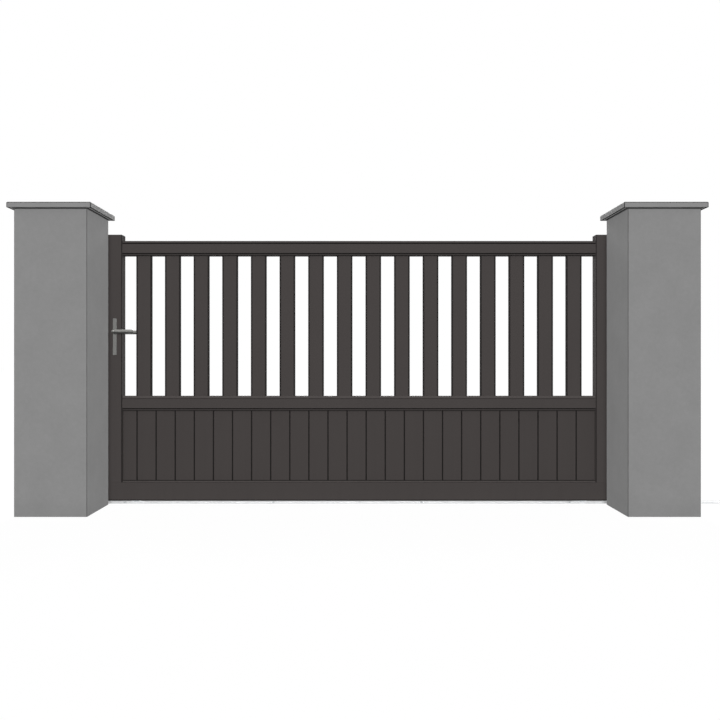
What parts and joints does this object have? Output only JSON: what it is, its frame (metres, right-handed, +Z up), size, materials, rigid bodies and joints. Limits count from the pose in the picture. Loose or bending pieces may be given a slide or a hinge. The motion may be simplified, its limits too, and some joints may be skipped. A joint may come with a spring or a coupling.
{
  "type": "sliding driveway gate",
  "caption": "Sliding driveway gate of dark coated aluminium, with upright slats over grooved boards and a lever handle, between two rendered pillars with flat caps.",
  "frame": {"origin": "centre of the left pillar's foot, seen from the street, at ground level", "axes": "+X along the gate towards its opening side, +Y from the street into the drive, +Z up"},
  "size_m": [6.3745, 0.592, 1.743],
  "materials": {
    "render": "matte",
    "cap_stone": "matte",
    "coated_aluminium": "satin",
    "mill_aluminium": "satin",
    "handle_aluminium": "satin",
    "galvanised_steel": "satin",
    "stainless_steel": "satin",
    "dark_plastic": "matte",
    "rubber": "matte",
    "nylon": "satin"
  },
  "bodies": {
    "posts": {"left_pillar": "render", "left_pillar_cap": "cap_stone", "right_pillar": "render", "right_pillar_cap": "cap_stone", "track_near": "mill_aluminium", "track_far": "mill_aluminium", "track_stop": "galvanised_steel", "receiver_channel": "coated_aluminium", "rubber_buffers": "rubber", "guide_bracket": "galvanised_steel", "guide_rollers": "nylon"},
    "leaf": {"bottom_rail": "coated_aluminium", "bottom_rail_end_caps": "dark_plastic", "left_stile": "coated_aluminium", "right_stile": "coated_aluminium", "stile_caps": "dark_plastic", "mid_rail": "coated_aluminium", "top_rail": "coated_aluminium", "top_rail_cover": "coated_aluminium", "lower_panel": "coated_aluminium", "slat_01": "coated_aluminium", "slat_02": "coated_aluminium", "slat_03": "coated_aluminium", "slat_04": "coated_aluminium", "slat_05": "coated_aluminium", "slat_06": "coated_aluminium", "slat_07": "coated_aluminium", "slat_08": "coated_aluminium", "slat_09": "coated_aluminium", "slat_10": "coated_aluminium", "slat_11": "coated_aluminium", "slat_12": "coated_aluminium", "slat_13": "coated_aluminium", "slat_14": "coated_aluminium", "slat_15": "coated_aluminium", "slat_16": "coated_aluminium", "upper_guide_rail": "coated_aluminium", "wheels": "galvanised_steel", "wheel_carriages": "galvanised_steel", "lock_faceplate": "stainless_steel", "front_handle_plate": "handle_aluminium", "rear_handle_plate": "handle_aluminium"},
    "handle": {"front_lever": "handle_aluminium", "rear_lever": "handle_aluminium"}
  },
  "joints": [
    {"name": "gate_slide", "type": "slide", "parent": "posts", "child": "leaf", "axis": [1, 0, 0], "range_m": [0, 2.79]},
    {"name": "lever_turn", "type": "hinge", "parent": "leaf", "child": "handle", "pos_m": [0.2365, 0.2625, 1.041], "axis": [0, 1, 0], "range_deg": [0, 40], "stiffness_Nm_per_rad": 1.2, "springref_deg": -20.05}
  ]
}
